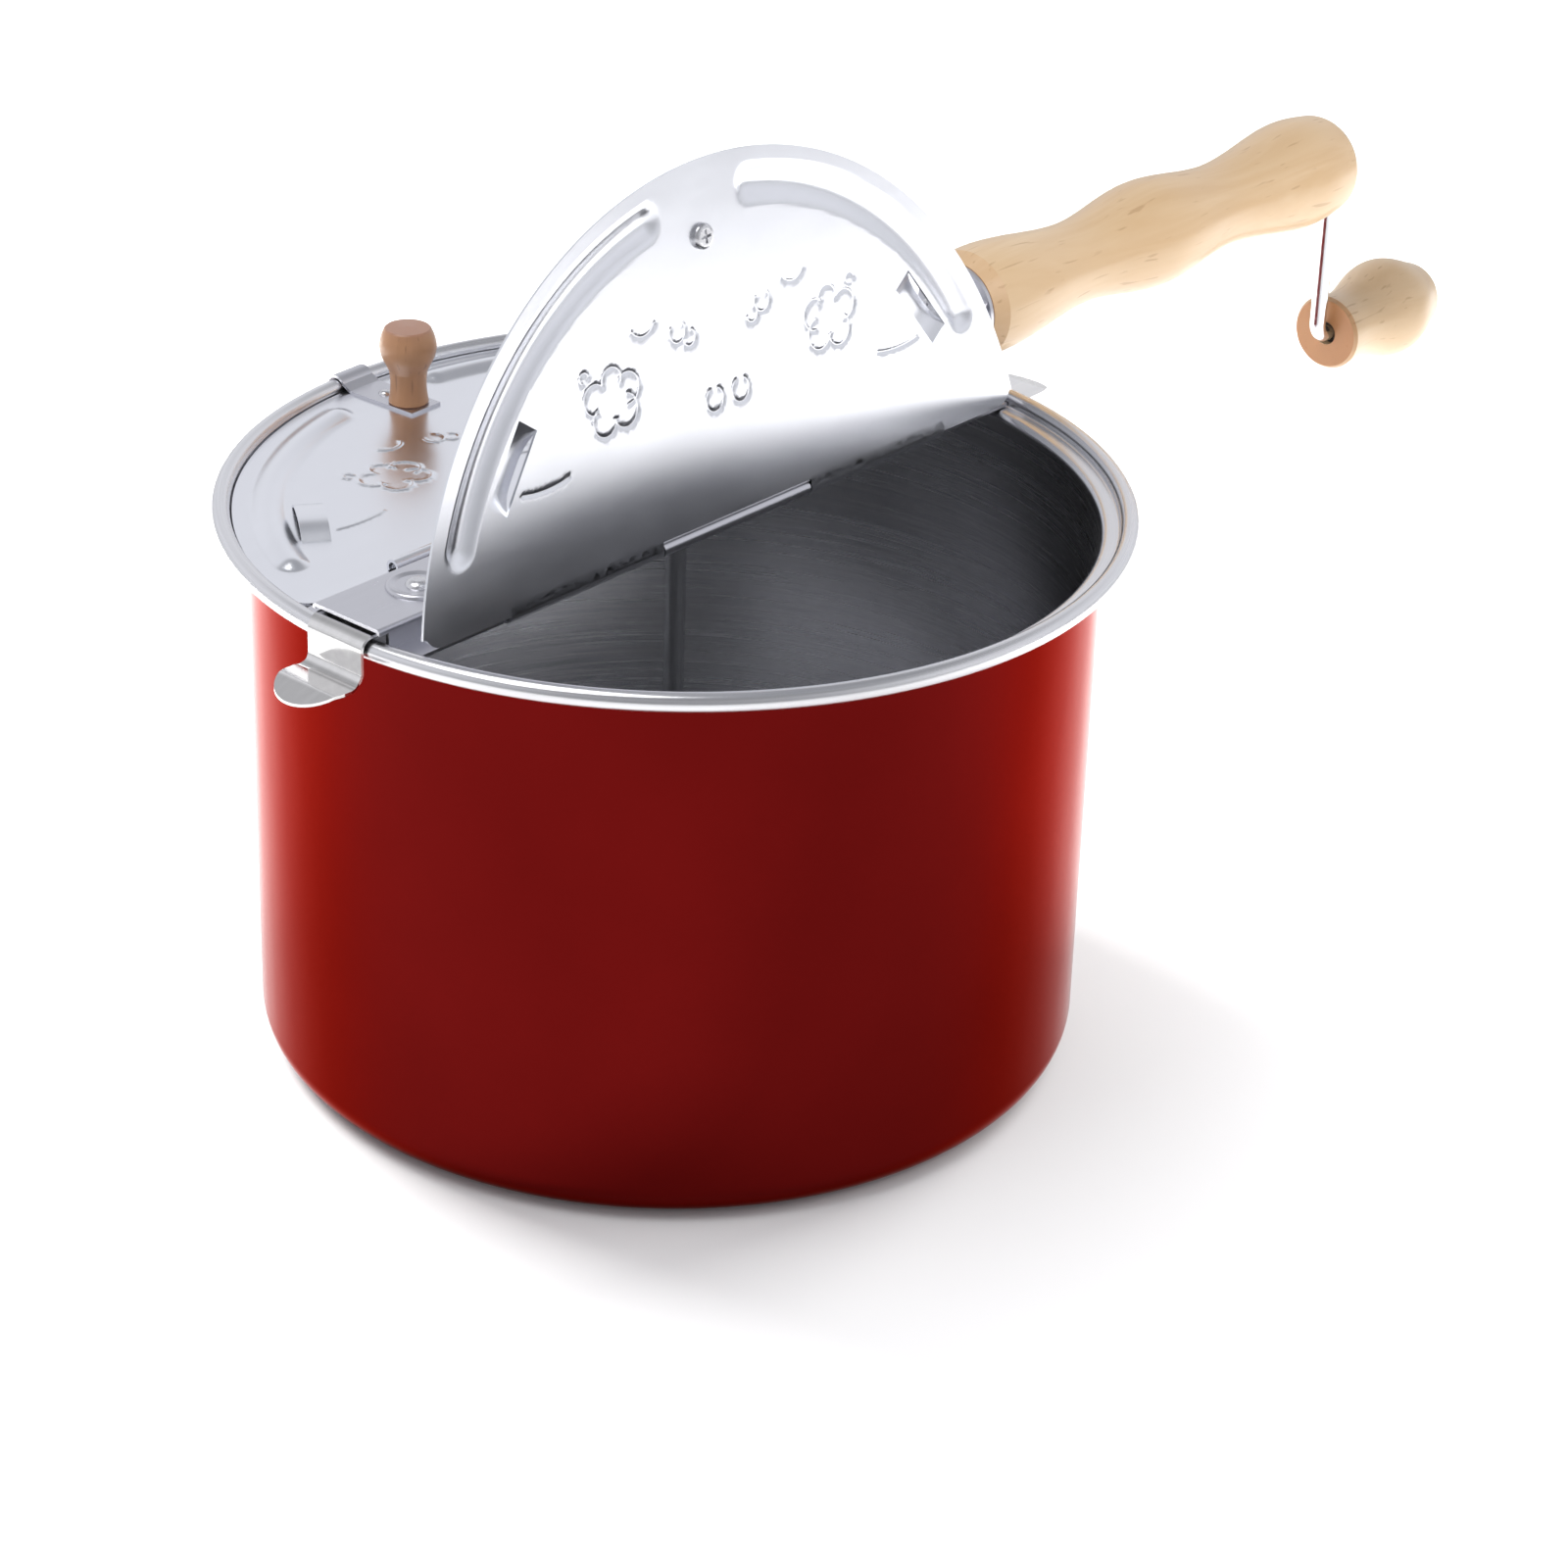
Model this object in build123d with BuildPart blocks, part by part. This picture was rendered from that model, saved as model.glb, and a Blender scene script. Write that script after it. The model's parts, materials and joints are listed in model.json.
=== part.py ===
"""Stovetop popcorn maker: a pot, a lid frame with two folding half lids, and a hand-cranked stirrer.

Millimetres, +Z up. The origin is the centre of the pot's underside. +X runs along the lid bridge
towards the handle, +Y is the side of the left half lid. The right half lid stands open.
"""

import math
import os

from build123d import *

# ---------------------------------------------------------------- driving dimensions
RIM_Z = 164.5  # top of the rolled rim above the base
BODY_R = 119.0  # outside of the drum
BASE_CORNER_R = 10.0
POT_WALL = 1.0
BEAD_R = 2.7  # rolled rim, outside radius of the roll
BEAD_CENTRE_R = 126.3
COLLAR_R = BEAD_CENTRE_R - BEAD_R  # inside of the collar above the ledge
BEAD_Z = RIM_Z - BEAD_R

SHEET = 0.8  # lid and clip sheet
LID_R = 123.1
LID_TOP = RIM_Z - 3.0
LID_BOTTOM = LID_TOP - SHEET
REST_GAP = 0.3  # play between parts that separate
LEDGE_Z = LID_BOTTOM - REST_GAP  # top of the ledge that carries the lid

HINGE_Y = 21.3
CURL_R = 2.2  # rolled hinge knuckle
HINGE_Z = LID_BOTTOM + CURL_R
HINGE_PIN_R = 1.0
RUNNING = 0.05  # radial play of a turning fit
CURL_END = 89.0  # far end of the lid's knuckles
CURL_SPLIT = 30.0  # end of the bridge's middle knuckle
LID_OPEN = 98.8  # degrees from closed to the open stop

BRIDGE_SHEET = 1.0
BRIDGE_TOP = RIM_Z + 3.6
BRIDGE_HALF_W = 12.5
BRIDGE_END = 126.0  # the plate reaches over the inside of the rim
LIP_END = 121.4
PLATE_UNDER = BRIDGE_TOP - BRIDGE_SHEET

AXIS_Z = RIM_Z + 21.0  # crank axis
ROD_R = 2.7
CRANK_THROW = 63.0
KNOB_Z = AXIS_Z - CRANK_THROW
BRACKET_X = 122.0  # outer face of the handle bracket
BRACKET_T = 1.5
HANDLE_LENGTH = 190.0
HANDLE_END = BRACKET_X + HANDLE_LENGTH
ARM_X = HANDLE_END + 5.5
KNOB_X = ARM_X + 5.0
KNOB_LENGTH = 55.0

PINION_TEETH = 12
CROWN_TEETH = 24
MODULE = 1.25
PINION_PITCH_R = PINION_TEETH * MODULE / 2
CROWN_PITCH_R = CROWN_TEETH * MODULE / 2
MESH_Z = AXIS_Z - PINION_PITCH_R
CROWN_ROOT_Z = MESH_Z - 1.3
CROWN_R = CROWN_PITCH_R + 2.0

SHAFT_R = 3.0
EAR_X = 25.0  # outer face of the gear bracket's ears
EAR_T = 1.2
EAR_RIVET_X = 19.5
FOOT_RIVET_X = 108.0  # rivets in the foot of the handle bracket
FOOT_RIVET_Y = 7.0

KNOB_LID_Y = 102.5  # lid knob, out from the centre
KNOB_TURN = 2.5  # degrees that the knob, catch and ribs sit round towards the front clip
SCREW_R = 2.0  # lid knob's screw
CATCH_RIVET_Y = KNOB_LID_Y + 9.5
CATCH_RIVET_R = 1.2
CATCH_HALF_W = 6.0
LOUVRE_R = 102.0
LOUVRE_ANGLE = 54.0  # either side of the lid's middle
RIB_R = 113.2
RIB_HALF_W = 4.2
RIB_START = 7.5  # degrees from the lid's middle
RIB_END = 67.5

CLIP_W = 22.0
CLIP_PIVOT_X = 121.3
STRAP_UNDER = 0.8  # the free tongue hangs this far under the plate
CLIP_RIVET_X = 100.0
STRAP_TOP = PLATE_UNDER

LEFT_HINGE = Axis((0, HINGE_Y, HINGE_Z), (1, 0, 0))
RIGHT_HINGE = Axis((0, -HINGE_Y, HINGE_Z), (1, 0, 0))
CRANK_AXIS = Axis((0, 0, AXIS_Z), (1, 0, 0))
GRIP_AXIS = Axis((0, 0, KNOB_Z), (1, 0, 0))

os.makedirs("parts", exist_ok=True)


def keep(name, shape):
    """Name a finished piece and write its STEP file."""
    shape.label = name
    export_step(shape, f"parts/{name}.step")


def radial_plane(angle):
    """The upright half plane through the Z axis at an angle from +X, with local x outwards."""
    turn = math.radians(angle)
    return Plane(origin=(0, 0, 0), x_dir=(math.cos(turn), math.sin(turn), 0),
                 z_dir=(math.sin(turn), -math.cos(turn), 0))


def opened(shape):
    """The right half lid's copy of a left half lid piece, swung to the open stop."""
    return shape.mirror(Plane.XZ).rotate(RIGHT_HINGE, -LID_OPEN)


def turned(shape):
    """A piece built on the lid's middle line, moved round the pot's axis to where the knob stands."""
    return shape.rotate(Axis.Z, KNOB_TURN)


# ---------------------------------------------------------------- pot
with BuildPart() as pot:
    with BuildSketch(Plane.XZ):
        with BuildLine():
            Line((0, 0), (BODY_R - BASE_CORNER_R, 0))
            RadiusArc((BODY_R - BASE_CORNER_R, 0), (BODY_R, BASE_CORNER_R), -BASE_CORNER_R)
            Polyline((BODY_R, BASE_CORNER_R), (BODY_R, LEDGE_Z - POT_WALL - 1.5),
                     (BODY_R + 1.5, LEDGE_Z - POT_WALL), (COLLAR_R + POT_WALL, LEDGE_Z - POT_WALL),
                     (COLLAR_R + POT_WALL, BEAD_Z), (COLLAR_R, BEAD_Z), (COLLAR_R, LEDGE_Z),
                     (BODY_R - POT_WALL, LEDGE_Z), (BODY_R - POT_WALL, BASE_CORNER_R))
            RadiusArc((BODY_R - POT_WALL, BASE_CORNER_R), (BODY_R - BASE_CORNER_R, POT_WALL),
                      BASE_CORNER_R - POT_WALL)
            Polyline((BODY_R - BASE_CORNER_R, POT_WALL), (0, POT_WALL), (0, 0))
        make_face()
        with Locations((BEAD_CENTRE_R, BEAD_Z)):
            Circle(BEAD_R)
            Circle(BEAD_R - POT_WALL, mode=Mode.SUBTRACT)
        with Locations((BEAD_CENTRE_R - 0.6, BEAD_Z - BEAD_R + POT_WALL / 2)):
            Rectangle(0.5, 2 * POT_WALL, mode=Mode.SUBTRACT)
    revolve(axis=Axis.Z)
keep("pot", pot.part)

# ---------------------------------------------------------------- bridge across the lid
with BuildPart() as bridge:
    with BuildSketch(Plane.YZ):
        lip = HINGE_Y - CURL_R - 0.4
        with BuildLine():
            Polyline((-lip, LID_BOTTOM), (-BRIDGE_HALF_W + BRIDGE_SHEET, LID_BOTTOM),
                     (-BRIDGE_HALF_W + BRIDGE_SHEET, PLATE_UNDER),
                     (BRIDGE_HALF_W - BRIDGE_SHEET, PLATE_UNDER),
                     (BRIDGE_HALF_W - BRIDGE_SHEET, LID_BOTTOM), (lip, LID_BOTTOM),
                     (lip, LID_BOTTOM + BRIDGE_SHEET), (BRIDGE_HALF_W, LID_BOTTOM + BRIDGE_SHEET),
                     (BRIDGE_HALF_W, BRIDGE_TOP), (-BRIDGE_HALF_W, BRIDGE_TOP),
                     (-BRIDGE_HALF_W, LID_BOTTOM + BRIDGE_SHEET),
                     (-lip, LID_BOTTOM + BRIDGE_SHEET), (-lip, LID_BOTTOM))
        make_face()
    extrude(amount=BRIDGE_END, both=True)
    fillet(bridge.edges().filter_by(Axis.X).group_by(Axis.Z)[-1], radius=1.2)
    for side in (-1, 1):
        # Beyond the lid's knuckles the lip reaches out close to the lid's straight edge.
        for end in (-1, 1):
            lip_start = CURL_END + 0.5
            lip_reach = HINGE_Y - 0.4
            with BuildSketch(Plane.XY.offset(LID_BOTTOM)):
                with Locations((end * (lip_start + LIP_END) / 2, side * (lip + lip_reach) / 2)):
                    Rectangle(LIP_END - lip_start, lip_reach - lip)
            extrude(amount=BRIDGE_SHEET)
        # The middle knuckle is a curl of the lip itself.
        with BuildSketch(Plane.YZ):
            with Locations((side * HINGE_Y, HINGE_Z)):
                Circle(CURL_R)
            with Locations((side * (lip + HINGE_Y) / 2, LID_BOTTOM + BRIDGE_SHEET / 2)):
                Rectangle(HINGE_Y - lip, BRIDGE_SHEET)
        extrude(amount=CURL_SPLIT, both=True)
        with BuildSketch(Plane.YZ):
            with Locations((side * HINGE_Y, HINGE_Z)):
                Circle(HINGE_PIN_R)
        extrude(amount=CURL_SPLIT + 1, both=True, mode=Mode.SUBTRACT)
    # Below the rim's top the ends follow the collar of the pot.
    with BuildSketch(Plane.XY.offset(LID_BOTTOM - 1)):
        Rectangle(3 * COLLAR_R, 3 * COLLAR_R)
        Circle(COLLAR_R - REST_GAP, mode=Mode.SUBTRACT)
    extrude(amount=PLATE_UNDER - 0.6 - LID_BOTTOM + 1, mode=Mode.SUBTRACT)
    with Locations((0, 0, PLATE_UNDER)):
        Cylinder(5.5, 4, mode=Mode.SUBTRACT)
    with Locations((-CLIP_RIVET_X, 0, PLATE_UNDER), (FOOT_RIVET_X, FOOT_RIVET_Y, PLATE_UNDER),
                   (FOOT_RIVET_X, -FOOT_RIVET_Y, PLATE_UNDER)):
        Cylinder(2.0, 4, mode=Mode.SUBTRACT)
    with Locations((-EAR_RIVET_X, 0, PLATE_UNDER), (EAR_RIVET_X, 0, PLATE_UNDER)):
        Cylinder(1.5, 4, mode=Mode.SUBTRACT)
keep("bridge", bridge.part)

for name, side in (("left_hinge_pin", 1), ("right_hinge_pin", -1)):
    with BuildPart() as hinge_pin:
        with BuildSketch(Plane.YZ):
            with Locations((side * HINGE_Y, HINGE_Z)):
                Circle(HINGE_PIN_R)
        extrude(amount=CURL_END - 2.5, both=True)
        chamfer(hinge_pin.edges().filter_by(GeomType.CIRCLE), length=0.3)
    keep(name, hinge_pin.part)

# ---------------------------------------------------------------- half lids
with BuildPart() as half_lid:
    with BuildSketch(Plane.XY.offset(LID_BOTTOM)):
        Circle(LID_R)
        with Locations((0, -LID_R + HINGE_Y)):
            Rectangle(3 * LID_R, 2 * LID_R, mode=Mode.SUBTRACT)
        with Locations((0, HINGE_Y)):
            Rectangle(2 * CURL_SPLIT + 0.8, 2 * (CURL_R + 0.4), mode=Mode.SUBTRACT)
    extrude(amount=SHEET)
    corners = half_lid.edges().filter_by(Axis.Z).group_by(Axis.X)
    fillet(corners[0] + corners[-1], radius=6)
    # Hinge knuckles, rolled up from the straight edge.
    for end in (-1, 1):
        with BuildSketch(Plane.YZ.offset(end * (CURL_SPLIT + 0.4))):
            with Locations((HINGE_Y, HINGE_Z)):
                Circle(CURL_R)
                Circle(HINGE_PIN_R + RUNNING, mode=Mode.SUBTRACT)
        extrude(amount=end * (CURL_END - CURL_SPLIT - 0.4))
    # Two stiffening ribs, pressed up along the round edge.
    rib_in, rib_out = RIB_R - RIB_HALF_W, RIB_R + RIB_HALF_W
    for start in (90 + KNOB_TURN + RIB_START, 90 + KNOB_TURN - RIB_END):
        with BuildSketch(radial_plane(start)):
            with BuildLine():
                ThreePointArc((rib_in, LID_TOP), (RIB_R, LID_TOP + 1.9), (rib_out, LID_TOP))
                Polyline((rib_out, LID_TOP), (rib_out, LID_TOP - SHEET / 2),
                         (rib_in, LID_TOP - SHEET / 2), (rib_in, LID_TOP))
            make_face()
        revolve(axis=Axis.Z, revolution_arc=RIB_END - RIB_START)
        with BuildSketch(radial_plane(start + 0.5)):
            with BuildLine():
                ThreePointArc((rib_in + 0.5, LID_BOTTOM), (RIB_R, LID_BOTTOM + 1.9),
                              (rib_out - 0.5, LID_BOTTOM))
                Line((rib_out - 0.5, LID_BOTTOM), (rib_in + 0.5, LID_BOTTOM))
            make_face()
        revolve(axis=Axis.Z, revolution_arc=RIB_END - RIB_START - 1, mode=Mode.SUBTRACT)
    # A bridge louvre at each end: a slot with a strip arched over it.
    for angle in (90 - LOUVRE_ANGLE, 90 + LOUVRE_ANGLE):
        turn = math.radians(angle)
        centre = (LOUVRE_R * math.cos(turn), LOUVRE_R * math.sin(turn))
        along = (-math.sin(turn), math.cos(turn), 0)
        outward = (math.cos(turn), math.sin(turn), 0)
        with BuildSketch(Plane(origin=(*centre, LID_BOTTOM), x_dir=along, z_dir=(0, 0, 1))):
            Rectangle(24, 7.4)
        extrude(amount=SHEET, mode=Mode.SUBTRACT)
        with BuildSketch(Plane(origin=(*centre, LID_BOTTOM), x_dir=along, z_dir=outward)):
            with BuildLine():
                ThreePointArc((-12.4, 0), (0, 3.4), (12.4, 0))
                Line((12.4, 0), (12.4, SHEET))
                ThreePointArc((12.4, SHEET), (0, 3.4 + SHEET), (-12.4, SHEET))
                Line((-12.4, SHEET), (-12.4, 0))
            make_face()
        extrude(amount=3.4, both=True)
    with Locations(Plane.XY.offset(LID_TOP)):
        with PolarLocations(KNOB_LID_Y, 1, start_angle=90 + KNOB_TURN):
            Cylinder(SCREW_R, 4, mode=Mode.SUBTRACT)
keep("right_lid", opened(half_lid.part))

# Only the left half lid carries a catch, so only it has the hole for the catch's rivet.
with BuildPart() as left_lid:
    add(half_lid.part)
    with Locations(Plane.XY.offset(LID_TOP)):
        with PolarLocations(CATCH_RIVET_Y, 1, start_angle=90 + KNOB_TURN):
            Cylinder(CATCH_RIVET_R, 4, mode=Mode.SUBTRACT)
keep("left_lid", left_lid.part)

# ---------------------------------------------------------------- lid catch, knobs and their fasteners
with BuildPart() as left_catch:
    with BuildSketch(Plane.YZ):
        with BuildLine():
            reach = BEAD_R + 0.35 + SHEET / 2  # strip's centre line round the rolled rim
            lift = LID_TOP + SHEET / 2
            start = (BEAD_CENTRE_R + reach * math.cos(math.radians(150)),
                     BEAD_Z + reach * math.sin(math.radians(150)))
            top = (BEAD_CENTRE_R, BEAD_Z + reach)
            end = (BEAD_CENTRE_R + reach * math.cos(math.radians(-22)),
                   BEAD_Z + reach * math.sin(math.radians(-22)))
            FilletPolyline((KNOB_LID_Y - 7, lift), (start[0] - 3.0, lift), start, radius=1.5)
            ThreePointArc(start, top, end)
        trace(line_width=SHEET)
    extrude(amount=CATCH_HALF_W, both=True)
    with Locations((0, KNOB_LID_Y, LID_TOP)):
        Cylinder(SCREW_R, 4, mode=Mode.SUBTRACT)
    with Locations((0, CATCH_RIVET_Y, LID_TOP)):
        Cylinder(CATCH_RIVET_R, 4, mode=Mode.SUBTRACT)
keep("left_catch", turned(left_catch.part))

with BuildPart() as left_catch_rivet:
    with BuildSketch(Plane.YZ):
        with BuildLine():
            middle = CATCH_RIVET_Y
            rivet_top = LID_TOP + SHEET
            Polyline((middle, LID_BOTTOM - 0.7), (middle + 1.8, LID_BOTTOM - 0.7),
                     (middle + 1.8, LID_BOTTOM), (middle + CATCH_RIVET_R, LID_BOTTOM),
                     (middle + CATCH_RIVET_R, rivet_top), (middle + 2, rivet_top))
            ThreePointArc((middle + 2, rivet_top), (middle + 1.4, rivet_top + 0.7),
                          (middle + 0.6, rivet_top + 0.9))
            Polyline((middle + 0.6, rivet_top + 0.9), (middle, rivet_top + 0.9),
                     (middle, LID_BOTTOM - 0.7))
        make_face()
    revolve(axis=Axis((0, CATCH_RIVET_Y, 0), (0, 0, 1)))
keep("left_catch_rivet", turned(left_catch_rivet.part))

with BuildPart() as left_knob:
    with BuildSketch(Plane.YZ):
        base = LID_TOP + SHEET
        with BuildLine():
            Polyline((KNOB_LID_Y, base), (KNOB_LID_Y + 5.5, base), (KNOB_LID_Y + 5.9, base + 0.5))
            # A neck, a shallow crease, then the head with its flat end.
            Spline((KNOB_LID_Y + 5.9, base + 0.5), (KNOB_LID_Y + 5.3, base + 5.5),
                   (KNOB_LID_Y + 5.6, base + 9.8), tangents=((-0.2, 1), (0.15, 1)))
            Spline((KNOB_LID_Y + 5.6, base + 9.8), (KNOB_LID_Y + 7.3, base + 13.4),
                   (KNOB_LID_Y + 8.4, base + 17.6), (KNOB_LID_Y + 6.9, base + 22.8),
                   tangents=((0.35, 1), (-0.55, 1)))
            Polyline((KNOB_LID_Y + 6.9, base + 22.8), (KNOB_LID_Y + 6.5, base + 23.2),
                     (KNOB_LID_Y, base + 23.5), (KNOB_LID_Y, base))
        make_face()
    revolve(axis=Axis((0, KNOB_LID_Y, 0), (0, 0, 1)))
    with Locations((0, KNOB_LID_Y, base)):
        Cylinder(2.0, 36, mode=Mode.SUBTRACT)
keep("left_knob", turned(left_knob.part))
# With no catch plate under it, the right knob sits a sheet lower on its lid.
keep("right_knob", opened(turned(left_knob.part.translate((0, 0, -SHEET)))))

with BuildPart() as left_knob_screw:
    with Locations((0, KNOB_LID_Y, LID_BOTTOM)):
        Cylinder(2.0, 18.5, align=(Align.CENTER, Align.CENTER, Align.MIN))
        Cylinder(3.6, 1.8, align=(Align.CENTER, Align.CENTER, Align.MAX))
    fillet(left_knob_screw.edges().filter_by(GeomType.CIRCLE).sort_by(Axis.Z)[0], radius=1.2)
    with Locations((0, KNOB_LID_Y, LID_BOTTOM - 1.5)):
        Box(0.8, 3.8, 1.0, mode=Mode.SUBTRACT)
        Box(3.8, 0.8, 1.0, mode=Mode.SUBTRACT)
keep("left_knob_screw", turned(left_knob_screw.part))
keep("right_knob_screw", opened(turned(left_knob_screw.part)))

# ---------------------------------------------------------------- rim clips
FRONT_TIP_X = 148.0
REAR_TIP_X = 162.0  # longer, to reach out from under the handle


def rim_clip(end, tip):
    """The springy tongue at one end of the bridge: over the rim, down its outside and out to a thumb rest."""
    reach = BEAD_R + 0.4 + SHEET / 2
    under = STRAP_TOP - STRAP_UNDER - SHEET / 2
    down = BEAD_CENTRE_R + reach
    with BuildPart() as clip:
        with BuildSketch(Plane.XZ):
            with BuildLine():
                FilletPolyline((CLIP_PIVOT_X, under), (down, under), (down, BEAD_Z - 8.9),
                               (tip - 8, BEAD_Z - 8.6), (tip, BEAD_Z - 11.0), radius=3.6)
            trace(line_width=SHEET)
        extrude(amount=CLIP_W / 2, both=True)
        # Plan shape: a straight strap, a slight waist and a round end.
        with BuildSketch(Plane.XY.offset(BEAD_Z - 20)):
            with BuildLine():
                Polyline((tip - 12, 11), (134.5, 11), (131, 9.9), (126, 10.4), (CLIP_PIVOT_X - 1, 10.4),
                         (CLIP_PIVOT_X - 1, -10.4), (126, -10.4), (131, -9.9), (134.5, -11),
                         (tip - 12, -11))
                ThreePointArc((tip - 12, -11), (tip - 0.5, 0), (tip - 12, 11))
            make_face()
        extrude(amount=40, mode=Mode.INTERSECT)
    return clip.part if end > 0 else clip.part.mirror(Plane.YZ)


keep("front_clip", rim_clip(-1, FRONT_TIP_X))
keep("rear_clip", rim_clip(1, REAR_TIP_X))

# The clip's root lies against the underside of the bridge plate.
for name, end, root_start, rivets in (("front_clip_root", -1, 86, ((-CLIP_RIVET_X, 0),)),
                                      ("rear_clip_root", 1, 98,
                                       ((FOOT_RIVET_X, FOOT_RIVET_Y), (FOOT_RIVET_X, -FOOT_RIVET_Y)))):
    with BuildPart() as clip_root:
        with BuildSketch(Plane.XY.offset(STRAP_TOP - SHEET)):
            with Locations((end * (root_start + CLIP_PIVOT_X - 0.3) / 2, 0)):
                RectangleRounded(CLIP_PIVOT_X - 0.3 - root_start, 20.8, 1.5)
        extrude(amount=SHEET)
        with Locations(*[(x, y, STRAP_TOP) for x, y in rivets]):
            Cylinder(2.0, 4, mode=Mode.SUBTRACT)
    keep(name, clip_root.part)

with BuildPart() as clip_washer:
    with BuildSketch(Plane.XZ):
        with BuildLine():
            Polyline((-CLIP_RIVET_X + 2.0, BRIDGE_TOP), (-CLIP_RIVET_X + 8.8, BRIDGE_TOP))
            ThreePointArc((-CLIP_RIVET_X + 8.8, BRIDGE_TOP), (-CLIP_RIVET_X + 8.2, BRIDGE_TOP + 0.9),
                          (-CLIP_RIVET_X + 7.2, BRIDGE_TOP + 1.0))
            Polyline((-CLIP_RIVET_X + 7.2, BRIDGE_TOP + 1.0), (-CLIP_RIVET_X + 6.0, BRIDGE_TOP + 0.6),
                     (-CLIP_RIVET_X + 2.0, BRIDGE_TOP + 0.6), (-CLIP_RIVET_X + 2.0, BRIDGE_TOP))
        make_face()
    revolve(axis=Axis((-CLIP_RIVET_X, 0, 0), (0, 0, 1)))
keep("clip_washer", clip_washer.part)


def rivet(x, y, low, high, shank, head):
    """A domed rivet standing at (x, y), closing the sheets between two heights."""
    rise = head * 0.42
    with BuildPart() as fastener:
        with BuildSketch(Plane(origin=(x, y, 0), x_dir=(1, 0, 0), z_dir=(0, -1, 0))):
            with BuildLine():
                Polyline((0, low - rise * 0.6), (head * 0.85, low - rise * 0.6), (head * 0.85, low),
                         (shank, low), (shank, high), (head, high))
                ThreePointArc((head, high), (head * 0.74, high + rise * 0.74), (head * 0.3, high + rise))
                Polyline((head * 0.3, high + rise), (0, high + rise), (0, low - rise * 0.6))
            make_face()
        revolve(axis=Axis((x, y, 0), (0, 0, 1)))
    return fastener.part


keep("clip_rivet", rivet(-CLIP_RIVET_X, 0, STRAP_TOP - SHEET, BRIDGE_TOP + 0.6, 2.0, 3.6))

# ---------------------------------------------------------------- handle bracket, handle and screws
FOOT_START_X = 97.0
SCREW_Y = 9.0
SCREW_Z = AXIS_Z - 1.5

with BuildPart() as handle_bracket:
    with BuildSketch(Plane.YZ.offset(BRACKET_X - BRACKET_T)):
        with BuildLine():
            ThreePointArc((-14, AXIS_Z), (0, AXIS_Z + 14), (14, AXIS_Z))
            Polyline((14, AXIS_Z), (14, BRIDGE_TOP + 8), (11.2, BRIDGE_TOP), (-11.2, BRIDGE_TOP),
                     (-14, BRIDGE_TOP + 8), (-14, AXIS_Z))
        make_face()
    extrude(amount=BRACKET_T)
    with BuildSketch(Plane.XY.offset(BRIDGE_TOP)):
        with Locations(((FOOT_START_X + BRACKET_X) / 2, 0)):
            Rectangle(BRACKET_X - FOOT_START_X, 22.4)
    extrude(amount=BRACKET_T)
    fillet(handle_bracket.edges().filter_by(Axis.Z).group_by(Axis.X)[0], radius=5)
    # Half-round stiffening ribs pressed across the plate above the screws.
    for side in (-1, 1):
        with BuildSketch(Plane.XZ.offset(-side * 4.5)):
            with Locations((BRACKET_X - BRACKET_T, AXIS_Z + 4.2)):
                Circle(1.6)
        extrude(amount=-side * 8)
    with BuildSketch(Plane.YZ.offset(BRACKET_X)):
        with Locations((0, AXIS_Z)):
            Circle(ROD_R + RUNNING)
        with Locations((SCREW_Y, SCREW_Z), (-SCREW_Y, SCREW_Z)):
            Circle(1.6)
    extrude(amount=-6, mode=Mode.SUBTRACT)
    with BuildSketch(Plane.YZ.offset(BRACKET_X)):
        Rectangle(60, 600)
    extrude(amount=6, mode=Mode.SUBTRACT)
    with Locations((FOOT_RIVET_X, FOOT_RIVET_Y, BRIDGE_TOP), (FOOT_RIVET_X, -FOOT_RIVET_Y, BRIDGE_TOP)):
        Cylinder(2.0, 4, mode=Mode.SUBTRACT)
keep("handle_bracket", handle_bracket.part)

keep("bracket_rivets",
     rivet(FOOT_RIVET_X, FOOT_RIVET_Y, STRAP_TOP - SHEET, BRIDGE_TOP + BRACKET_T, 2.0, 3.4)
     + rivet(FOOT_RIVET_X, -FOOT_RIVET_Y, STRAP_TOP - SHEET, BRIDGE_TOP + BRACKET_T, 2.0, 3.4))

with BuildPart() as handle:
    with BuildSketch(Plane.XZ):
        with BuildLine():
            bore = AXIS_Z + 3.2
            Line((BRACKET_X, bore), (BRACKET_X, AXIS_Z + 14.2))
            Line((BRACKET_X, AXIS_Z + 14.2), (BRACKET_X + 4.6, AXIS_Z + 16.5))
            # Three bulges along the grip, then a rounded end.
            Spline((BRACKET_X + 4.6, AXIS_Z + 16.5), (BRACKET_X + 15, AXIS_Z + 16.7),
                   (BRACKET_X + 58, AXIS_Z + 12.9), (BRACKET_X + 91, AXIS_Z + 16.9),
                   (BRACKET_X + 128, AXIS_Z + 13.3), (BRACKET_X + 164, AXIS_Z + 17.3),
                   (HANDLE_END - 7, AXIS_Z + 16.6), tangents=((1, 0.08), (1, -0.16)))
            ThreePointArc((HANDLE_END - 7, AXIS_Z + 16.6), (HANDLE_END - 1.9, AXIS_Z + 14.2),
                          (HANDLE_END, AXIS_Z + 10))
            Polyline((HANDLE_END, AXIS_Z + 10), (HANDLE_END, bore), (BRACKET_X, bore))
        make_face()
    revolve(axis=CRANK_AXIS)
    with BuildSketch(Plane.YZ.offset(BRACKET_X)):
        with Locations((SCREW_Y, SCREW_Z), (-SCREW_Y, SCREW_Z)):
            Circle(1.6)
    extrude(amount=19, mode=Mode.SUBTRACT)
keep("handle", handle.part)

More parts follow.
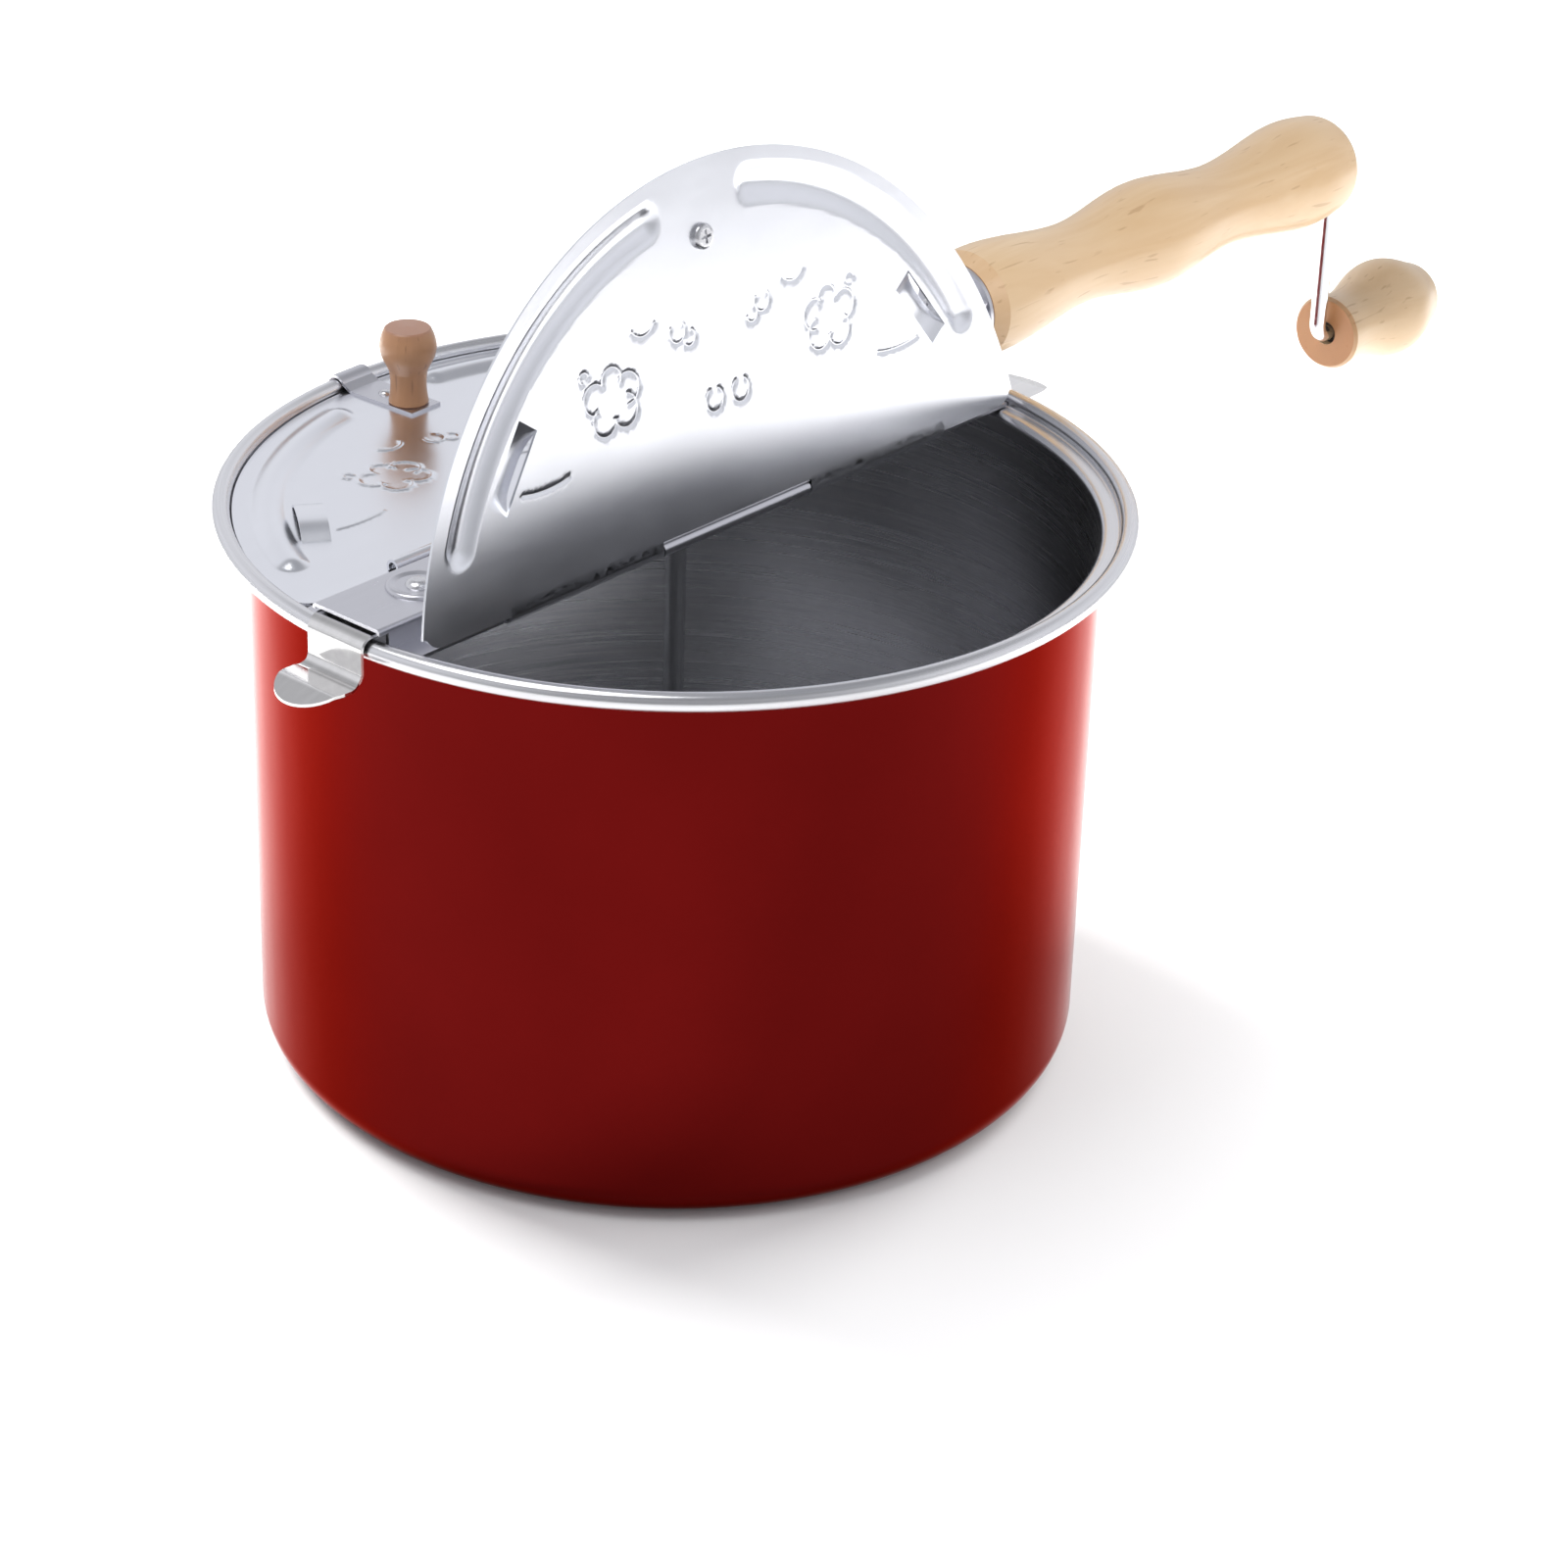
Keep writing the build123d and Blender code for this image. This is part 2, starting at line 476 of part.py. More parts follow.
with BuildPart() as handle_screws:
    for y in (SCREW_Y, -SCREW_Y):
        with BuildSketch(Plane.YZ.offset(BRACKET_X - BRACKET_T)):
            with Locations((y, SCREW_Z)):
                Circle(3.0)
        extrude(amount=-1.7)
        with BuildSketch(Plane.YZ.offset(BRACKET_X - BRACKET_T)):
            with Locations((y, SCREW_Z)):
                Circle(1.6)
        extrude(amount=19)
    heads = handle_screws.edges().filter_by(GeomType.CIRCLE).group_by(Axis.X)[0]
    fillet(heads, radius=1.1)
    for y in (SCREW_Y, -SCREW_Y):
        with Locations((BRACKET_X - BRACKET_T - 1.4, y, SCREW_Z)):
            Box(1.0, 0.7, 3.2, mode=Mode.SUBTRACT)
            Box(1.0, 3.2, 0.7, mode=Mode.SUBTRACT)
keep("handle_screws", handle_screws.part)

# ---------------------------------------------------------------- gear bracket, bushing and rivets
BUSHING_TOP = AXIS_Z - 14.0
EAR_R = 9.0

with BuildPart() as gear_bracket:
    with BuildSketch(Plane.XY.offset(BRIDGE_TOP)):
        RectangleRounded(2 * EAR_X, 2 * EAR_R, 0.5)
    extrude(amount=EAR_T)
    for end in (-1, 1):
        with BuildSketch(Plane.YZ.offset(end * EAR_X)):
            with BuildLine():
                ThreePointArc((-EAR_R, AXIS_Z), (0, AXIS_Z + EAR_R), (EAR_R, AXIS_Z))
                Polyline((EAR_R, AXIS_Z), (EAR_R, BRIDGE_TOP), (-EAR_R, BRIDGE_TOP), (-EAR_R, AXIS_Z))
            make_face()
        extrude(amount=-end * EAR_T)
    with BuildSketch(Plane.YZ):
        with Locations((0, AXIS_Z)):
            Circle(ROD_R + RUNNING)
    extrude(amount=EAR_X + 1, both=True, mode=Mode.SUBTRACT)
    with Locations((0, 0, BRIDGE_TOP)):
        Cylinder(5.5, 5, mode=Mode.SUBTRACT)
    with Locations((-EAR_RIVET_X, 0, BRIDGE_TOP), (EAR_RIVET_X, 0, BRIDGE_TOP)):
        Cylinder(1.5, 5, mode=Mode.SUBTRACT)
keep("gear_bracket", gear_bracket.part)

keep("gear_bracket_rivets", rivet(-EAR_RIVET_X, 0, PLATE_UNDER, BRIDGE_TOP + EAR_T, 1.5, 2.6)
     + rivet(EAR_RIVET_X, 0, PLATE_UNDER, BRIDGE_TOP + EAR_T, 1.5, 2.6))

with BuildPart() as shaft_bushing:
    with Locations((0, 0, PLATE_UNDER)):
        Cylinder(8.5, 1.5, align=(Align.CENTER, Align.CENTER, Align.MAX))
        Cylinder(5.5, BUSHING_TOP - PLATE_UNDER, align=(Align.CENTER, Align.CENTER, Align.MIN))
    with Locations((0, 0, PLATE_UNDER)):
        Cylinder(SHAFT_R + RUNNING, 30, mode=Mode.SUBTRACT)
keep("shaft_bushing", shaft_bushing.part)

# ---------------------------------------------------------------- crank: rod, pinion, pin and retaining ring
ROD_START_X = -28.0
PINION_X = CROWN_PITCH_R - 1.5
PINION_FACE = 3.0
HUB_END_X = 22.5
PIN_X = 19.5

with BuildPart() as crank_rod:
    with BuildLine():
        FilletPolyline((ROD_START_X, 0, AXIS_Z), (ARM_X, 0, AXIS_Z), (ARM_X, 0, KNOB_Z),
                       (KNOB_X + 36, 0, KNOB_Z), radius=5.2)
    with BuildSketch(Plane.YZ.offset(ROD_START_X)):
        with Locations((0, AXIS_Z)):
            Circle(ROD_R)
    sweep()
    with BuildSketch(Plane.XY):
        with Locations((PIN_X, 0)):
            Circle(1.0)
    extrude(amount=RIM_Z + 60, mode=Mode.SUBTRACT)
keep("crank_rod", crank_rod.part)

with BuildPart() as pinion:
    with BuildSketch(Plane.YZ.offset(PINION_X)):
        with Locations((0, AXIS_Z)):
            Circle(6.0)
            with PolarLocations(0, PINION_TEETH, start_angle=-90):
                Polygon((5.5, -1.25), (8.5, -0.5), (8.5, 0.5), (5.5, 1.25), align=None)
    extrude(amount=PINION_FACE)
    with BuildSketch(Plane.YZ.offset(PINION_X + PINION_FACE)):
        with Locations((0, AXIS_Z)):
            Circle(5.2)
    extrude(amount=HUB_END_X - PINION_X - PINION_FACE)
    with BuildSketch(Plane.YZ.offset(PINION_X - 1)):
        with Locations((0, AXIS_Z)):
            Circle(ROD_R)
    extrude(amount=20, mode=Mode.SUBTRACT)
    with Locations((PIN_X, 0, AXIS_Z)):
        Cylinder(1.0, 20, mode=Mode.SUBTRACT)
keep("pinion", pinion.part)

with BuildPart() as pinion_pin:
    with Locations((PIN_X, 0, AXIS_Z)):
        Cylinder(1.0, 10.8)
keep("pinion_pin", pinion_pin.part)

with BuildPart() as rod_ring:
    with BuildSketch(Plane.YZ.offset(-EAR_X - 1.3)):
        with Locations((0, AXIS_Z)):
            Circle(5.0)
            Circle(ROD_R, mode=Mode.SUBTRACT)
    extrude(amount=1.0)
keep("rod_ring", rod_ring.part)

# ---------------------------------------------------------------- crank knob
with BuildPart() as crank_knob:
    with BuildSketch(Plane.XZ):
        with BuildLine():
            Polyline((KNOB_X, KNOB_Z + 4.0), (KNOB_X, KNOB_Z + 11.6), (KNOB_X + 1.2, KNOB_Z + 12.5))
            # A slight waist behind the end face, then the ball.
            Spline((KNOB_X + 1.2, KNOB_Z + 12.5), (KNOB_X + 10, KNOB_Z + 11.7),
                   (KNOB_X + 21, KNOB_Z + 13.6), (KNOB_X + 36, KNOB_Z + 16.6),
                   (KNOB_X + 48, KNOB_Z + 12.6), (KNOB_X + KNOB_LENGTH, KNOB_Z),
                   tangents=((1, -0.1), (0.02, -1)))
            Polyline((KNOB_X + KNOB_LENGTH, KNOB_Z), (KNOB_X + 40, KNOB_Z), (KNOB_X + 40, KNOB_Z + 4),
                     (KNOB_X, KNOB_Z + 4.0))
        make_face()
    revolve(axis=GRIP_AXIS)
keep("crank_knob", crank_knob.part)

with BuildPart() as knob_sleeve:
    with BuildSketch(Plane.YZ.offset(KNOB_X + 3)):
        with Locations((0, KNOB_Z)):
            Circle(4.0)
            Circle(ROD_R + RUNNING, mode=Mode.SUBTRACT)
    extrude(amount=30)
keep("knob_sleeve", knob_sleeve.part)

# ---------------------------------------------------------------- stirrer: shaft, crown gear, hub and wire
SHAFT_TOP = AXIS_Z - 6.3
BOSS_TOP = AXIS_Z - 6.5
CROWN_PIN_Z = AXIS_Z - 7.8
WIRE_R = 1.7
WIRE_Z = 4.2
HUB_Z = 13.0
HUB_SCREW_Z = 20.0

with BuildPart() as stir_shaft:
    with Locations((0, 0, 7.0)):
        Cylinder(SHAFT_R, SHAFT_TOP - 7.0, align=(Align.CENTER, Align.CENTER, Align.MIN))
    chamfer(stir_shaft.edges().filter_by(GeomType.CIRCLE), length=0.5)
    with BuildSketch(Plane.XZ):
        with Locations((0, CROWN_PIN_Z)):
            Circle(1.0)
        with Locations((0, HUB_Z)):
            Circle(WIRE_R)
    extrude(amount=10, both=True, mode=Mode.SUBTRACT)
keep("stir_shaft", stir_shaft.part)

with BuildPart() as crown_gear:
    with Locations((0, 0, CROWN_ROOT_Z)):
        Cylinder(CROWN_R, 3.0, align=(Align.CENTER, Align.CENTER, Align.MAX))
        Cylinder(6.4, BOSS_TOP - CROWN_ROOT_Z, align=(Align.CENTER, Align.CENTER, Align.MIN))
        Cylinder(6.4, CROWN_ROOT_Z - 3.0 - (BUSHING_TOP + 0.8) + 3.0,
                 align=(Align.CENTER, Align.CENTER, Align.MAX))
    # Radial teeth on the upper face. The pinion's lowest tooth lies between two of them.
    with BuildSketch(Plane.YZ.offset(CROWN_PITCH_R - 2.4)):
        with BuildLine():
            Polyline((-0.85, CROWN_ROOT_Z - 0.5), (-0.4, MESH_Z + 0.9), (0.4, MESH_Z + 0.9),
                     (0.85, CROWN_ROOT_Z - 0.5), (-0.85, CROWN_ROOT_Z - 0.5))
        make_face()
    tooth = extrude(amount=4.2, mode=Mode.PRIVATE)
    for number in range(CROWN_TEETH):
        add(tooth.rotate(Axis.Z, (number + 0.5) * 360 / CROWN_TEETH))
    with Locations((0, 0, CROWN_ROOT_Z)):
        Cylinder(SHAFT_R, 20, mode=Mode.SUBTRACT)
    with BuildSketch(Plane.XZ):
        with Locations((0, CROWN_PIN_Z)):
            Circle(1.0)
    extrude(amount=10, both=True, mode=Mode.SUBTRACT)
keep("crown_gear", crown_gear.part)

with BuildPart() as crown_pin:
    with BuildSketch(Plane.XZ):
        with Locations((0, CROWN_PIN_Z)):
            Circle(1.0)
    extrude(amount=6.6, both=True)
keep("crown_pin", crown_pin.part)

with BuildPart() as thrust_washer:
    with Locations((0, 0, BUSHING_TOP + 0.3)):
        Cylinder(5.5, 0.5, align=(Align.CENTER, Align.CENTER, Align.MIN))
        Cylinder(SHAFT_R, 4, mode=Mode.SUBTRACT)
keep("thrust_washer", thrust_washer.part)

with BuildPart() as stirrer_hub:
    with Locations((0, 0, 6.0)):
        Cylinder(6.5, 18.0, align=(Align.CENTER, Align.CENTER, Align.MIN))
    chamfer(stirrer_hub.edges().filter_by(GeomType.CIRCLE), length=0.8)
    with Locations((0, 0, 7.0)):
        Cylinder(SHAFT_R, 30, align=(Align.CENTER, Align.CENTER, Align.MIN), mode=Mode.SUBTRACT)
    with BuildSketch(Plane.XZ):
        with Locations((0, HUB_Z)):
            Circle(WIRE_R)
    extrude(amount=10, both=True, mode=Mode.SUBTRACT)
    with BuildSketch(Plane.YZ):
        with Locations((0, HUB_SCREW_Z)):
            Circle(1.5)
    extrude(amount=10, mode=Mode.SUBTRACT)
keep("stirrer_hub", stirrer_hub.part)

with BuildPart() as hub_screw:
    with BuildSketch(Plane.YZ.offset(SHAFT_R)):
        with Locations((0, HUB_SCREW_Z)):
            Circle(1.5)
    extrude(amount=5.0)
    with Locations((SHAFT_R + 5.0, 0, HUB_SCREW_Z)):
        Box(2.0, 0.6, 3.4, mode=Mode.SUBTRACT)
keep("hub_screw", hub_screw.part)

# One wire through the hub, bent down to the floor of the pot, with a trailing curve in each arm.
with BuildPart() as stirrer_wire:
    half = [(0, 0, HUB_Z), (0, 14, HUB_Z), (2, 26, WIRE_Z), (10, 62, WIRE_Z), (26, 92, WIRE_Z),
            (44, 97, WIRE_Z + 9)]
    other = [(-x, -y, z) for x, y, z in half[1:]]
    with BuildLine():
        FilletPolyline(*reversed(other), *half[1:], radius=7)
    with BuildSketch(Plane.XZ):
        with Locations((0, HUB_Z)):
            Circle(WIRE_R)
    sweep()
keep("stirrer_wire", stirrer_wire.part)
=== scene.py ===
"""Looks of the stovetop popcorn maker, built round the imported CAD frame.

Metres, +Z up, +X towards the handle.
"""
import json
import math

import bmesh
import bpy
import numpy as np
from mathutils import Euler, Matrix, Vector


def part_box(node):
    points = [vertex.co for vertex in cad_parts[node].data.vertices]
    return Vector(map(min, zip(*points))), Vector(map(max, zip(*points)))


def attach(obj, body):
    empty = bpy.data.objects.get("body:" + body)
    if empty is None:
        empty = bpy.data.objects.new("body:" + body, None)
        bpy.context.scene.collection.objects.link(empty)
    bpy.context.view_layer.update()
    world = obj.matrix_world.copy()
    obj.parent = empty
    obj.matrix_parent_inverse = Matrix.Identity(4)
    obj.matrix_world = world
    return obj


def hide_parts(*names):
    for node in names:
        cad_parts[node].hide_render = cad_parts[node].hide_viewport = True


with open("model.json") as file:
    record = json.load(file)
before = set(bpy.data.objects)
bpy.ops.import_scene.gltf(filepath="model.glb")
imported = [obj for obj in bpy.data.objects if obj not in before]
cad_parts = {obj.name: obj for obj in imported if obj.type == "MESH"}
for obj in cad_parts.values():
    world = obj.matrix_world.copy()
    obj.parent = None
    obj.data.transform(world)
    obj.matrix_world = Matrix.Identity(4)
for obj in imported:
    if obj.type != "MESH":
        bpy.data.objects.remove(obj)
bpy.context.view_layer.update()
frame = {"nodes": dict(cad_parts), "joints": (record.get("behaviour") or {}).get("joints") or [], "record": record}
nodes = frame["nodes"]
MM = 0.001

# ---------------------------------------------------------------- sizes, read from the frame
RIM_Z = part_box("pot")[1].z
RIM_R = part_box("pot")[1].x
BEAD_R = 2.7 * MM
BEAD_CENTRE_R = RIM_R - BEAD_R
BEAD_Z = RIM_Z - BEAD_R
COLLAR_R = BEAD_CENTRE_R - BEAD_R
WALL = 1.0 * MM
SHEET = 0.8 * MM
LID_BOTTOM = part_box("left_lid")[0].z
LID_TOP = LID_BOTTOM + SHEET
LEDGE_Z = LID_BOTTOM - 0.3 * MM
BODY_R = 119.0 * MM
BASE_CORNER = 10.0 * MM
SHOULDER_R = 2.2 * MM  # rounds where the drum meets the ledge and the ledge meets the collar
LEDGE_R = 1.2 * MM
LID_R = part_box("left_lid")[1].y

pin_low, pin_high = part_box("left_hinge_pin")
HINGE_Y = (pin_low.y + pin_high.y) / 2
HINGE_Z = (pin_low.z + pin_high.z) / 2
CURL_R = 2.2 * MM
LID_OPEN = next(j for j in frame["joints"] if j["name"] == "right_lid_hinge")["range_deg"][1]


# ---------------------------------------------------------------- camera, floor and light
CAMERA_AZIMUTH, CAMERA_ELEVATION = math.radians(-47.8), math.radians(27.83)
CAMERA_DISTANCE = 1.188
CAMERA_TARGET = Vector((0, 0, 0.07))
CAMERA_TURN = (-0.12, 1.57, -1.1)  # tilt, pan and roll off the target, degrees


def make_camera():
    """The camera stands on the open lid's side, towards the front clip, and looks down at the pot."""
    azimuth, elevation = CAMERA_AZIMUTH, CAMERA_ELEVATION
    back = Vector((math.sin(azimuth) * math.cos(elevation), -math.cos(azimuth) * math.cos(elevation),
                   math.sin(elevation)))
    aim = Euler([math.radians(a) for a in CAMERA_TURN], "XYZ").to_matrix()
    data = bpy.data.cameras.new("camera")
    data.sensor_width = 36.0
    data.lens = 94.3
    data.clip_start, data.clip_end = 0.05, 20.0
    camera = bpy.data.objects.new("camera", data)
    bpy.context.scene.collection.objects.link(camera)
    turn = back.to_track_quat("Z", "Y").to_matrix() @ aim.transposed()
    camera.matrix_world = Matrix.Translation(back * CAMERA_DISTANCE + CAMERA_TARGET) @ turn.to_4x4()
    bpy.context.scene.camera = camera


def area_light(name, location, target, size, power, colour=(1, 1, 1)):
    """A soft rectangular light that faces a point."""
    data = bpy.data.lights.new(name, "AREA")
    data.shape = "RECTANGLE"
    data.size, data.size_y = size
    data.energy = power
    data.color = colour
    light = bpy.data.objects.new(name, data)
    bpy.context.scene.collection.objects.link(light)
    light.location = location
    away = Vector(location) - Vector(target)
    light.rotation_euler = away.to_track_quat("Z", "Y").to_euler()
    return light


def make_world():
    """A pale studio: bright round the horizon, greyer overhead and dim on the camera's side."""
    world = bpy.data.worlds.new("studio")
    bpy.context.scene.world = world
    world.use_nodes = True
    tree = world.node_tree
    place = tree.nodes.new("ShaderNodeTexCoord").outputs["Generated"]
    height = tree.nodes.new("ShaderNodeSeparateXYZ")
    tree.links.new(place, height.inputs[0])
    by_height = tree.nodes.new("ShaderNodeValToRGB")
    tree.links.new(height.outputs[2], by_height.inputs[0])
    stops = by_height.color_ramp.elements
    stops[0].position, stops[0].color = 0.0, (0.74, 0.75, 0.78, 1)
    stops[1].position, stops[1].color = 1.0, (0.34, 0.35, 0.38, 1)
    for position, value in ((0.30, 0.88), (0.55, 0.84), (0.75, 0.42)):
        stop = stops.new(position)
        stop.color = (value * 0.97, value * 0.98, value * 1.03, 1)
    side = tree.nodes.new("ShaderNodeVectorMath")
    side.operation = "DOT_PRODUCT"
    tree.links.new(place, side.inputs[0])
    side.inputs[1].default_value = (-0.741, -0.672, 0.1)
    dim = tree.nodes.new("ShaderNodeMapRange")
    tree.links.new(side.outputs["Value"], dim.inputs["Value"])
    for socket, value in (("From Min", 0.35), ("From Max", 0.95), ("To Min", 1.0), ("To Max", 0.45)):
        dim.inputs[socket].default_value = value
    background = tree.nodes["Background"]
    tree.links.new(by_height.outputs["Color"], background.inputs["Color"])
    tree.links.new(dim.outputs["Result"], background.inputs["Strength"])


def make_stage():
    """A pale floor, the world and soft lights."""
    bpy.context.scene.view_settings.view_transform = "Standard"
    make_world()
    bm = bmesh.new()
    bmesh.ops.create_grid(bm, x_segments=8, y_segments=8, size=6.0)
    mesh = bpy.data.meshes.new("floor")
    bm.to_mesh(mesh)
    bm.free()
    floor = bpy.data.objects.new("floor", mesh)
    bpy.context.scene.collection.objects.link(floor)
    floor.data.materials.append(floor_material())
    area_light("top_light", (-0.5, 0.25, 1.5), (0, 0, 0.1), (0.9, 0.9), 8)
    # These only brighten the floor where the red drum and the open lid mirror it, and the wooden handle.
    for name, location, target, power, only in (
            ("left_floor_light", (-0.05, 1.0, 0.6), (-0.02, 0.32, 0), 20, floor),
            ("right_floor_light", (1.0, -0.15, 0.6), (0.32, -0.06, 0), 9, floor),
            ("lid_floor_light", (0.75, -0.8, 0.45), (0.6, -0.68, 0), 4, floor),
            ("handle_light", (-0.2, -0.9, 0.9), (0.22, 0, 0.2), 5, nodes["handle"])):
        light = area_light(name, location, target, (0.5, 0.9), power, (1.0, 0.99, 0.98))
        lit = bpy.data.collections.new(name + "_receivers")
        lit.objects.link(only)
        light.light_linking.receiver_collection = lit


# ---------------------------------------------------------------- materials
class Nodes:
    """A short way to write a material's nodes: each call adds a node and links or sets its inputs."""

    def __init__(self, name):
        self.material = bpy.data.materials.new(name)
        self.material.use_nodes = True
        self.tree = self.material.node_tree
        self.shader = self.tree.nodes["Principled BSDF"]
        self.place = self.add("ShaderNodeTexCoord").outputs["Object"]

    def put(self, socket, value):
        if isinstance(value, bpy.types.NodeSocket):
            self.tree.links.new(value, socket)
        elif value is not None:
            socket.default_value = value

    def add(self, kind, inputs=(), **settings):
        node = self.tree.nodes.new(kind)
        for key, value in settings.items():
            setattr(node, key, value)
        for key, value in dict(inputs).items():
            self.put(node.inputs[key], value)
        return node

    def stretched(self, scale, offset=(0, 0, 0)):
        return self.add("ShaderNodeMapping", {"Vector": self.place, "Scale": scale,
                                              "Location": offset}).outputs[0]

    def noise(self, scale, vector=None, detail=2.0, rough=0.5, distort=0.0):
        made = self.add("ShaderNodeTexNoise", {"Vector": vector or self.place, "Scale": scale,
                                               "Detail": detail, "Roughness": rough,
                                               "Distortion": distort})
        return made.outputs["Fac"]

    def math(self, operation, a, b=None, c=None):
        return self.add("ShaderNodeMath", {0: a, 1: b, 2: c}, operation=operation).outputs[0]

    def span(self, value, low, high, to_low, to_high):
        made = self.add("ShaderNodeMapRange", {"Value": value, "From Min": low, "From Max": high,
                                               "To Min": to_low, "To Max": to_high})
        return made.outputs["Result"]

    def ramp(self, value, stops):
        made = self.add("ShaderNodeValToRGB", {"Fac": value})
        elements = made.color_ramp.elements
        while len(elements) < len(stops):
            elements.new(0.5)
        for element, (position, colour) in zip(elements, stops):
            element.position = position
            element.color = (*colour, 1)
        return made.outputs["Color"]

    def mix(self, factor, first, second, blend="MIX"):
        made = self.add("ShaderNodeMix", {0: factor, 6: first, 7: second}, data_type="RGBA",
                        blend_type=blend)
        return made.outputs[2]

    def bump(self, height, strength, distance, normal=None):
        made = self.add("ShaderNodeBump", {"Height": height, "Strength": strength,
                                           "Distance": distance, "Normal": normal})
        return made.outputs["Normal"]

    def finish(self, **inputs):
        for key, value in inputs.items():
            self.put(self.shader.inputs[key.replace("_", " ")], value)
        return self.material


def floor_material():
    """White paper with faint soft clouds."""
    n = Nodes("floor_paper")
    soft = n.noise(3.0, detail=3.0)
    tone = n.ramp(soft, [(0.0, (0.93, 0.93, 0.93)), (1.0, (0.96, 0.96, 0.955))])
    return n.finish(Base_Color=tone, Roughness=0.9)


def red_enamel():
    """Deep candy-red coating over bright metal, with a faint ripple."""
    n = Nodes("red_enamel")
    cloud = n.noise(14.0, detail=3.0)
    colour = n.ramp(cloud, [(0.3, (0.108, 0.0040, 0.0037)), (0.7, (0.126, 0.0048, 0.0044))])
    ripple = n.noise(55.0, n.stretched((1, 1, 0.35)), detail=1.0)
    grain = n.noise(900.0, detail=1.0)
    rough = n.span(grain, 0.3, 0.7, 0.13, 0.17)
    normal = n.bump(ripple, 0.12, 0.0012)
    return n.finish(Base_Color=colour, Metallic=1.0, Roughness=rough, Specular_Tint=(1, 0.52, 0.50, 1),
                    Normal=normal)


def steel(name, colour, low, high, along=(1, 1, 1), scale=420.0, strength=0.05, tint=0.05):
    """Drawn or rolled steel: fine streaks along one direction vary the shade, gloss and height."""
    n = Nodes(name)
    streak = n.noise(scale, n.stretched(along), detail=3.0, rough=0.6)
    cloud = n.noise(26.0, detail=4.0)
    shade = n.math("ADD", n.math("MULTIPLY", streak, 0.6), n.math("MULTIPLY", cloud, 0.4))
    dark = tuple(c * (1 - 2 * tint) for c in colour)
    light = tuple(min(1.0, c * (1 + tint)) for c in colour)
    tone = n.ramp(shade, [(0.35, dark), (0.65, light)])
    rough = n.span(shade, 0.3, 0.7, low, high)
    normal = n.bump(streak, strength, 0.0004)
    return n.finish(Base_Color=tone, Metallic=1.0, Roughness=rough, Normal=normal)


def turned_steel(name, colour, low, high):
    """Steel with fine rings round the pot's axis."""
    n = Nodes(name)
    parts = n.add("ShaderNodeSeparateXYZ", {0: n.place})
    radius = n.math("SQRT", n.math("ADD", n.math("MULTIPLY", parts.outputs[0], parts.outputs[0]),
                                   n.math("MULTIPLY", parts.outputs[1], parts.outputs[1])))
    angle = n.math("ARCTAN2", parts.outputs[1], parts.outputs[0])
    polar = n.add("ShaderNodeCombineXYZ", {0: n.math("MULTIPLY", radius, 30.0), 1: angle,
                                           2: n.math("MULTIPLY", parts.outputs[2], 30.0)}).outputs[0]
    ring = n.noise(34.0, n.add("ShaderNodeMapping", {"Vector": polar, "Scale": (1, 0.05, 1)}).outputs[0],
                   detail=4.0, rough=0.6)
    dark = tuple(c * 0.9 for c in colour)
    tone = n.ramp(ring, [(0.35, dark), (0.65, colour)])
    rough = n.span(ring, 0.3, 0.7, low, high)
    normal = n.bump(ring, 0.06, 0.0004)
    return n.finish(Base_Color=tone, Metallic=1.0, Roughness=rough, Normal=normal)


def wood(name, light, dark, pore, end, offset=(0, 0, 0), along=(1, 0, 0), gloss=0.38):
    """Turned, lacquered hardwood: soft growth bands, fine fibres, short dark pores and darker end grain."""
    n = Nodes(name)

    def drawn_out(amount):
        """Stretches the pattern along the grain, the axis on which the wood was turned."""
        return n.stretched(tuple(amount if abs(a) > 0.5 else 1.0 for a in along), offset)

    base = drawn_out(0.14)
    band = n.noise(70.0, base, detail=3.0, rough=0.55, distort=1.2)
    wide = n.noise(22.0, base, detail=2.0)
    fibre = n.noise(1500.0, drawn_out(0.03), detail=2.0)
    fleck = n.noise(620.0, drawn_out(0.07), detail=1.0)
    shade = n.math("ADD", n.math("MULTIPLY", band, 0.55), n.math("MULTIPLY", wide, 0.45))
    tone = n.ramp(shade, [(0.36, dark), (0.5, tuple((a + b) / 2 for a, b in zip(light, dark))),
                          (0.64, light)])
    spots = n.span(fleck, 0.66, 0.74, 0.0, 0.55)
    tone = n.mix(spots, tone, (*pore, 1))
    tone = n.mix(n.span(fibre, 0.3, 0.7, 0.0, 0.14), tone, (*dark, 1))
    facing = n.add("ShaderNodeVectorMath", {0: n.add("ShaderNodeTexCoord").outputs["Normal"], 1: along},
                   operation="DOT_PRODUCT").outputs["Value"]
    cut = n.span(n.math("ABSOLUTE", facing), 0.35, 0.8, 0.0, 0.85)
    tone = n.mix(cut, tone, (*end, 1))
    rough = n.span(band, 0.3, 0.7, gloss - 0.04, gloss + 0.08)
    height = n.math("SUBTRACT", n.math("MULTIPLY", fibre, 0.5), spots)
    normal = n.bump(height, 0.12, 0.0003)
    return n.finish(Base_Color=tone, Roughness=rough, Normal=normal, Coat_Weight=0.3,
                    Coat_Roughness=0.18)


def plastic(name, colour, roughness):
    """Moulded plastic with a fine grain."""
    n = Nodes(name)
    grain = n.noise(900.0, detail=2.0)
    cloud = n.noise(40.0, detail=3.0)
    tone = n.ramp(cloud, [(0.3, tuple(c * 0.92 for c in colour)), (0.7, colour)])
    return n.finish(Base_Color=tone, Roughness=n.span(grain, 0.3, 0.7, roughness - 0.06, roughness + 0.06),
                    Normal=n.bump(grain, 0.15, 0.0002))


